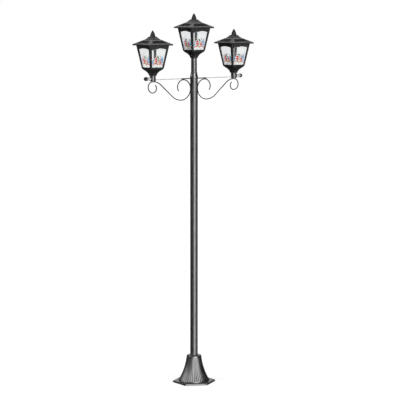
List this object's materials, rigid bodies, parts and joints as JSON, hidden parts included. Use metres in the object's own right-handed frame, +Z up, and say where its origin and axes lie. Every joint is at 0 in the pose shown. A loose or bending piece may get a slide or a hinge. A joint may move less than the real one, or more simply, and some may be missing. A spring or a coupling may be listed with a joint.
{
  "type": "triple head lamp post",
  "caption": "Garden lamp post with square lanterns on wire scroll arms, each with a solar roof that lifts off, on a hexagonal ground plate.",
  "frame": {"origin": "on the ground at the post's axis", "axes": "+Z up, +X along the arms, -Y to the front"},
  "size_m": [0.64, 0.2144, 1.8496],
  "materials": {
    "post_paint": "satin black paint on steel",
    "foot_plate": "gloss black paint on steel plate",
    "lantern_shell": "satin black moulding, lightly dusted",
    "pane_glass": "seeded pane with a winter print on its lower half",
    "solar_cell": "dark cell under a clear skin",
    "bright_steel": "bright zinc",
    "bright_alloy": "bright turned alloy",
    "plain_steel": "plain tube steel",
    "knob_plastic": "black moulded plastic",
    "lamp_case": "black moulded plastic",
    "lens_clear": "clear moulded lens",
    "board": "green circuit board",
    "battery_wrap": "plain green shrink wrap",
    "switch_rubber": "dark rubber cap"
  },
  "bodies": {
    "post": {"base_plate": "foot_plate", "base_bolt": "bright_steel", "base_socket": "plain_steel", "base_bell": "post_paint", "pole_lower": "post_paint", "pole_middle": "post_paint", "pole_upper": "post_paint", "joiner_lower": "plain_steel", "joiner_middle": "plain_steel", "joiner_upper": "plain_steel", "arm_hub": "post_paint", "reducer": "post_paint", "stem": "post_paint", "stem_screw": "bright_steel", "scroll_left": "post_paint", "tie_sleeve_left": "post_paint", "tie_rod_left": "bright_steel", "neck_left": "post_paint", "scroll_right": "post_paint", "tie_sleeve_right": "post_paint", "tie_rod_right": "bright_steel", "neck_right": "post_paint"},
    "lantern_left": {"funnel_left": "lantern_shell", "frame_left": "lantern_shell", "panes_left": "pane_glass"},
    "lid_left": {"roof_left": "lantern_shell", "solar_cells_left": "solar_cell", "finial_left": "lantern_shell", "light_case_left": "lamp_case", "lens_left": "lens_clear", "circuit_board_left": "board", "battery_left": "battery_wrap"},
    "button_left": {"switch_left": "switch_rubber"},
    "lantern_center": {"funnel_center": "lantern_shell", "frame_center": "lantern_shell", "panes_center": "pane_glass"},
    "lid_center": {"roof_center": "lantern_shell", "solar_cells_center": "solar_cell", "finial_center": "lantern_shell", "light_case_center": "lamp_case", "lens_center": "lens_clear", "circuit_board_center": "board", "battery_center": "battery_wrap"},
    "button_center": {"switch_center": "switch_rubber"},
    "lantern_right": {"funnel_right": "lantern_shell", "frame_right": "lantern_shell", "panes_right": "pane_glass"},
    "lid_right": {"roof_right": "lantern_shell", "solar_cells_right": "solar_cell", "finial_right": "lantern_shell", "light_case_right": "lamp_case", "lens_right": "lens_clear", "circuit_board_right": "board", "battery_right": "battery_wrap"},
    "button_right": {"switch_right": "switch_rubber"},
    "clamp_left": {"clamp_screw_left": "bright_alloy"},
    "grip_left": {"knob_left": "knob_plastic"},
    "clamp_right": {"clamp_screw_right": "bright_alloy"},
    "grip_right": {"knob_right": "knob_plastic"}
  },
  "joints": [
    {"name": "lantern_turn_left", "type": "hinge", "parent": "post", "child": "lantern_left", "pos_m": [-0.249, 0, 1.5497], "axis": [0, 0, 1], "continuous": true},
    {"name": "lid_lift_left", "type": "slide", "parent": "lantern_left", "child": "lid_left", "axis": [0, 0, 1], "range_m": [0, 0.08]},
    {"name": "switch_press_left", "type": "slide", "parent": "lid_left", "child": "button_left", "axis": [0, 0, 1], "range_m": [0, 0.0015], "stiffness_N_per_m": 400, "springref_m": -0.002},
    {"name": "lantern_turn_center", "type": "hinge", "parent": "post", "child": "lantern_center", "pos_m": [0, 0, 1.6297], "axis": [0, 0, 1], "continuous": true},
    {"name": "lid_lift_center", "type": "slide", "parent": "lantern_center", "child": "lid_center", "axis": [0, 0, 1], "range_m": [0, 0.08]},
    {"name": "switch_press_center", "type": "slide", "parent": "lid_center", "child": "button_center", "axis": [0, 0, 1], "range_m": [0, 0.0015], "stiffness_N_per_m": 400, "springref_m": -0.002},
    {"name": "lantern_turn_right", "type": "hinge", "parent": "post", "child": "lantern_right", "pos_m": [0.249, 0, 1.5497], "axis": [0, 0, 1], "continuous": true},
    {"name": "lid_lift_right", "type": "slide", "parent": "lantern_right", "child": "lid_right", "axis": [0, 0, 1], "range_m": [0, 0.08]},
    {"name": "switch_press_right", "type": "slide", "parent": "lid_right", "child": "button_right", "axis": [0, 0, 1], "range_m": [0, 0.0015], "stiffness_N_per_m": 400, "springref_m": -0.002},
    {"name": "clamp_travel_left", "type": "slide", "parent": "post", "child": "clamp_left", "axis": [-1, 0, 0], "range_m": [0, 0.0024]},
    {"name": "knob_turn_left", "type": "hinge", "parent": "clamp_left", "child": "grip_left", "pos_m": [-0.278, 0, 1.5347], "axis": [-1, 0, 0], "range_deg": [0, 1080]},
    {"name": "clamp_travel_right", "type": "slide", "parent": "post", "child": "clamp_right", "axis": [1, 0, 0], "range_m": [0, 0.0024]},
    {"name": "knob_turn_right", "type": "hinge", "parent": "clamp_right", "child": "grip_right", "pos_m": [0.278, 0, 1.5347], "axis": [1, 0, 0], "range_deg": [0, 1080]}
  ],
  "couplings": [
    {"joint": "knob_turn_left", "follows": "clamp_travel_left", "rad_per_m": 7854},
    {"joint": "knob_turn_right", "follows": "clamp_travel_right", "rad_per_m": 7854}
  ]
}
